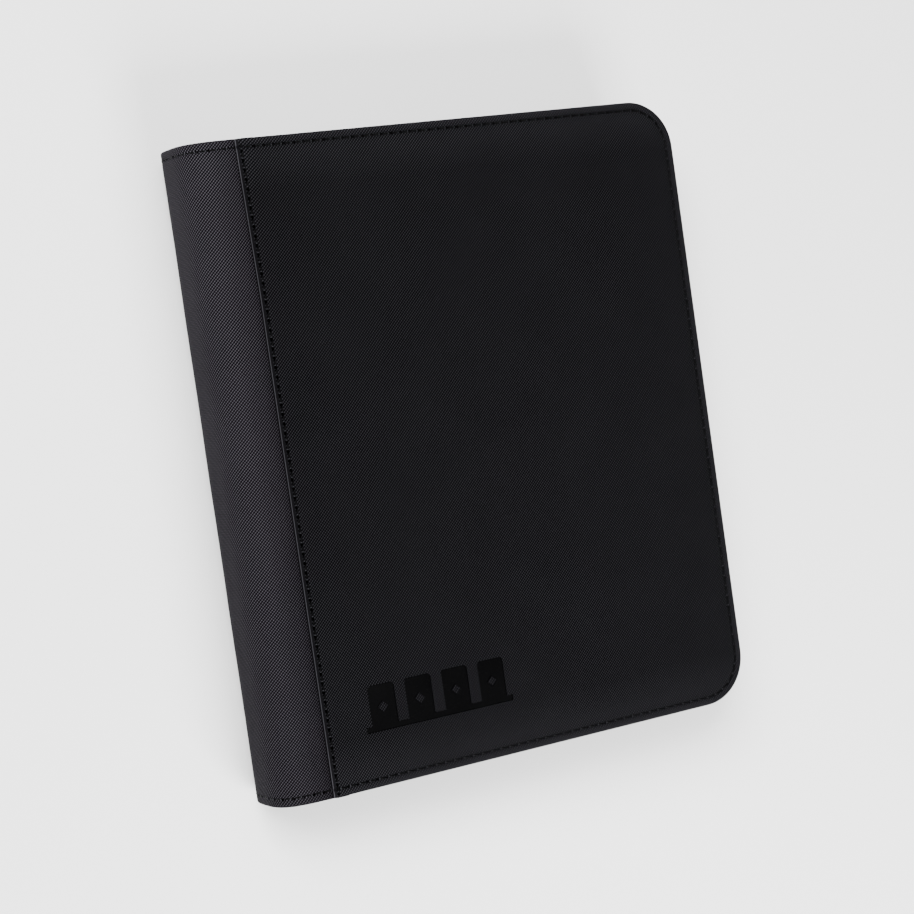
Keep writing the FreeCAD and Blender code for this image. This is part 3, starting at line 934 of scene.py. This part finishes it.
def zip_teeth(cover, start_x, bottom_x):
    """One row of coil teeth, each a rounded loop across the tape's edge."""
    path = zip_path(start_x, bottom_x)
    front = cover == "front"
    run = [0.0]
    for (a, _), (b, _) in zip(path, path[1:]):
        run.append(run[-1] + (b - a).length)
    count = int(run[-1] / TOOTH_PITCH)
    points, faces = [], []
    k = 0
    n = len(TOOTH_OUTLINE)
    layers = len(TOOTH_WIDTHS) - 1
    for i in range(count):
        s = (i + 0.5) * TOOTH_PITCH
        while run[k + 1] < s:
            k += 1
        t = (s - run[k]) / (run[k + 1] - run[k])
        centre = path[k][0].lerp(path[k + 1][0], t)
        along = (path[k + 1][0] - path[k][0]).normalized()
        out = Vector((along.y, -along.x, 0))
        first = len(points)
        for shift, size in TOOTH_WIDTHS:
            for off, h in TOOTH_OUTLINE:
                q = centre + along * shift + out * off * size
                z = TAPE_TOP + TOOTH_RISE + (h - TOOTH_MIDDLE) * size
                points.append((q.x, q.y, THICKNESS - z if front else z))
        for w in range(layers):
            for j in range(n):
                a = first + w * n + j
                b = first + w * n + (j + 1) % n
                faces.append((a, b, b + n, a + n))
        faces.append(tuple(first + j for j in reversed(range(n))))
        faces.append(tuple(first + layers * n + j for j in range(n)))
    ob = piece(cover + "_zip_teeth_row", points, faces, cover + "_cover", TEETH,
               [cover + "_zip_teeth"])
    face_closed(ob)


def softened(node, name, body, width):
    """A copy of a metal CAD part with its sharp edges rounded over."""
    mesh = frame["nodes"][node].data.copy()
    mesh.materials.clear()
    mesh.materials.append(METAL)
    b = bmesh.new()
    b.from_mesh(mesh)
    bmesh.ops.remove_doubles(b, verts=b.verts, dist=1e-6)
    bmesh.ops.dissolve_limit(b, angle_limit=0.02, verts=b.verts, edges=b.edges)
    for f in b.faces:
        f.smooth = True
        f.material_index = 0
    b.to_mesh(mesh)
    b.free()
    ob = bpy.data.objects.new(name, mesh)
    bpy.context.scene.collection.objects.link(ob)
    bevel = ob.modifiers.new("edges", "BEVEL")
    bevel.width = width * MM
    bevel.segments = 3
    bevel.limit_method = "ANGLE"
    bevel.angle_limit = math.radians(35)
    bevel.harden_normals = True
    settle(ob)
    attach(ob, body)
    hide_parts(node)


def zip_pieces():
    """Both halves of the zip, their stops, the slider and its pull."""
    front_low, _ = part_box("front_zip_stop_bottom")
    back_start = tape_low.x / MM
    front_start = front_low.x / MM + STOP_LENGTH
    for cover, bottom in (("back", back_start), ("front", front_start)):
        zip_tape(cover, back_start, bottom)
        zip_teeth(cover, back_start, bottom)
        for end in ("bottom", "top"):
            node = f"{cover}_zip_stop_{end}"
            softened(node, node + "_metal", cover + "_cover", 0.3)
    softened("zip_slider_body", "zip_slider_casting", "zip_slider", 0.28)
    softened("zip_slider_bridge", "zip_slider_arch", "zip_slider", 0.25)
    softened("zip_pull_tab", "zip_pull_metal", "zip_pull", 0.25)


# ---- Pages ----

POCKET = 83.0
WELD = 3.0
POCKET_MIDDLE = 56.0
PAGE_CORNER = 5
CORE_HALF = 0.25
FILM_GAP = 0.13
FILM_LIFT = 0.36
NOTCH_DEPTH = 7
NOTCH_HALF = 9

# Where a pocket's mesh has its columns, from its open edge over its weld, and its rows, up to its middle.
ACROSS = [
    0.0, 0.5, 1.5, 4.0, 10.0, 22.0, 36.0, 50.0, 64.0, 74.0, 79.0, 81.0, 82.3, 83.0, 83.8, 84.5, 85.2, 86.0,
]
UP_POCKET = [1.5, 2.1, 3.0, 5.0, 10.0, 20.0, 34.0, 44.0, 47.0, 49.5, 52.5, 56.0]


def smooth(t):
    """Eases from 0 to 1."""
    t = min(max(t, 0.0), 1.0)
    return t * t * (3 - 2 * t)


def page_core(label, height):
    """The page's black sheet, with rounded outer corners and a creased tab beside its hinge."""
    low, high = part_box(label + "_sheet")
    left, right, half = low.x / MM, high.x / MM, high.y / MM
    ys = [0.0, 0.3, 0.8, 1.6, 2.6, 3.8, 5.0] + spread(10, half, 14)
    ys = [-half + y for y in ys] + [half - y for y in reversed(ys[:-1])]
    steps = [0.0, 0.008, 0.014, 0.02, 0.03] + spread(0.08, 1.0, 22)
    points, uvs = [], []
    for y in ys:
        inset = max(0.0, PAGE_CORNER - (half - abs(y)))
        end = right - PAGE_CORNER + math.sqrt(max(PAGE_CORNER ** 2 - inset * inset, 0.0))
        for t in steps:
            x = left + (end - left) * t
            crease = -0.12 * math.exp(-((x - left - 3.0) / 0.5) ** 2)
            wave = 0.05 * math.sin(x * 0.05 + height) * math.sin(y * 0.03)
            points.append((x, y, height + crease + wave))
            uvs.append((x, y))
    faces = quads(len(ys), len(steps))
    ob = piece(label + "_core", points, faces, label, CORE, [label + "_sheet"], uvs, (0, 0, 1))
    thicken(ob, 2 * CORE_HALF - 0.04, offset=0)


def page_film(label, height, side):
    """Clear film on one face: four pockets, each open at its left with a thumb notch, and welded round."""
    low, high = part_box(label + "_pockets")
    half = high.y / MM
    gap = (high.x - low.x) / MM - 2 * (POCKET + WELD)
    rows = [y - POCKET_MIDDLE for y in UP_POCKET]
    rows += [POCKET_MIDDLE - y for y in reversed(UP_POCKET[:-1])]
    ys = [-half, -half + 0.9, -half + 2.2] + [y - POCKET_MIDDLE for y in rows][2:-1] + [-0.9, 0.0, 0.9]
    ys += [y + POCKET_MIDDLE for y in rows][1:-2] + [half - 2.2, half - 0.9, half]
    points, faces, uvs = [], [], []
    for column in range(2):
        start = low.x / MM + column * (POCKET + WELD + gap)
        grid = []
        for y in ys:
            middle = abs(abs(y) - POCKET_MIDDLE)
            notch = NOTCH_DEPTH * math.sqrt(max(0.0, 1 - (middle / NOTCH_HALF) ** 2))
            swell = smooth((abs(y) - 1.5) / 3) * smooth((half - 3 - abs(y)) / 3)
            for u in ACROSS:
                lift = swell * smooth((POCKET - u) / 5)
                rib = 0.03 * math.sin(u * 7) * (1 - lift) if u > POCKET else 0.0
                x = start + u + notch * (1 - u / (POCKET + WELD))
                grid.append((x, y, height + side * (CORE_HALF + FILM_GAP + FILM_LIFT * lift + rib)))
                uvs.append((x, y))
        add(points, faces, grid, quads(len(ys), len(ACROSS)))
    name = label + ("_film_front" if side > 0 else "_film_back")
    ob = piece(name, points, faces, label, FILM, [label + "_pockets"], uvs, (0, 0, side))
    thicken(ob, 0.12)


def pages():
    """Every page's core and its two films."""
    for name in sorted(frame["bodies"]):
        if name.startswith("page_"):
            low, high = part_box(name + "_sheet")
            height = (low.z + high.z) / 2 / MM
            page_core(name, height)
            page_film(name, height, 1)
            page_film(name, height, -1)


# ---- CAD parts that keep their shape ----

def finish_cad():
    """Gives the stiff parts inside the binder their materials."""
    looks = {
        "spine_board": BOARD,
        "back_cover_board": BOARD,
        "front_cover_board": BOARD,
        "page_binding_comb": CORE,
    }
    for name, look in looks.items():
        mesh = frame["nodes"][name].data
        mesh.materials.clear()
        mesh.materials.append(look)


# ---- Studio ----

def studio():
    """A pale floor just under the back cover's stitches, a pale sky and three soft lamps."""
    mesh = bpy.data.meshes.new("floor")
    level = -0.0003
    corners = [(-6, -6, level), (6, -6, level), (6, 6, level), (-6, 6, level)]
    mesh.from_pydata(corners, [], [(0, 1, 2, 3)])
    mesh.materials.append(floor_material())
    floor = bpy.data.objects.new("floor", mesh)
    bpy.context.scene.collection.objects.link(floor)
    world = bpy.data.worlds.new("studio")
    world.use_nodes = True
    sky = world.node_tree.nodes["Background"]
    sky.inputs["Color"].default_value = (1, 1, 1, 1)
    sky.inputs["Strength"].default_value = 0.4
    bpy.context.scene.world = world
    lamp("key", (-1.0, 1.05, 1.6), 1.1, 128)
    lamp("back", (-0.2, 1.5, 1.7), 1.4, 18)
    lamp("front", (0.15, -0.85, 0.7), 0.6, 31)


def lamp(name, place, size, power):
    """A soft square lamp that points at the binder."""
    light = bpy.data.lights.new(name, "AREA")
    light.shape = "SQUARE"
    light.size = size
    light.energy = power
    ob = bpy.data.objects.new(name, light)
    ob.location = place
    ob.rotation_euler = (-Vector(place)).to_track_quat("-Z", "Y").to_euler()
    bpy.context.scene.collection.objects.link(ob)


def camera():
    """Looks down at the front cover from above and from the spine's side."""
    data = bpy.data.cameras.new("camera")
    data.sensor_width = 36
    data.lens = 88.02
    ob = bpy.data.objects.new("camera", data)
    bpy.context.scene.collection.objects.link(ob)
    forward = Vector((0.4724, -0.05751, -0.8795)).normalized()
    up = Vector((0.15182, 0.98826, 0.01693))
    right = forward.cross(up).normalized()
    up = right.cross(forward)
    place = Vector((SEAM_X - 336.04, 44.03, THICKNESS + 758.94)) * MM
    ob.matrix_world = Matrix((
        (right.x, up.x, -forward.x, place.x),
        (right.y, up.y, -forward.y, place.y),
        (right.z, up.z, -forward.z, place.z),
        (0, 0, 0, 1),
    ))
    data.clip_start = 0.01
    data.clip_end = 50
    bpy.context.scene.camera = ob


camera()
studio()
front_skin = cover_skin("front")
cover_skin("back")
press_emblem(front_skin)
for cover_name in ("back", "front"):
    cover_lining(cover_name)
    cover_threads(cover_name)
spine_pieces()
zip_pieces()
pages()
finish_cad()
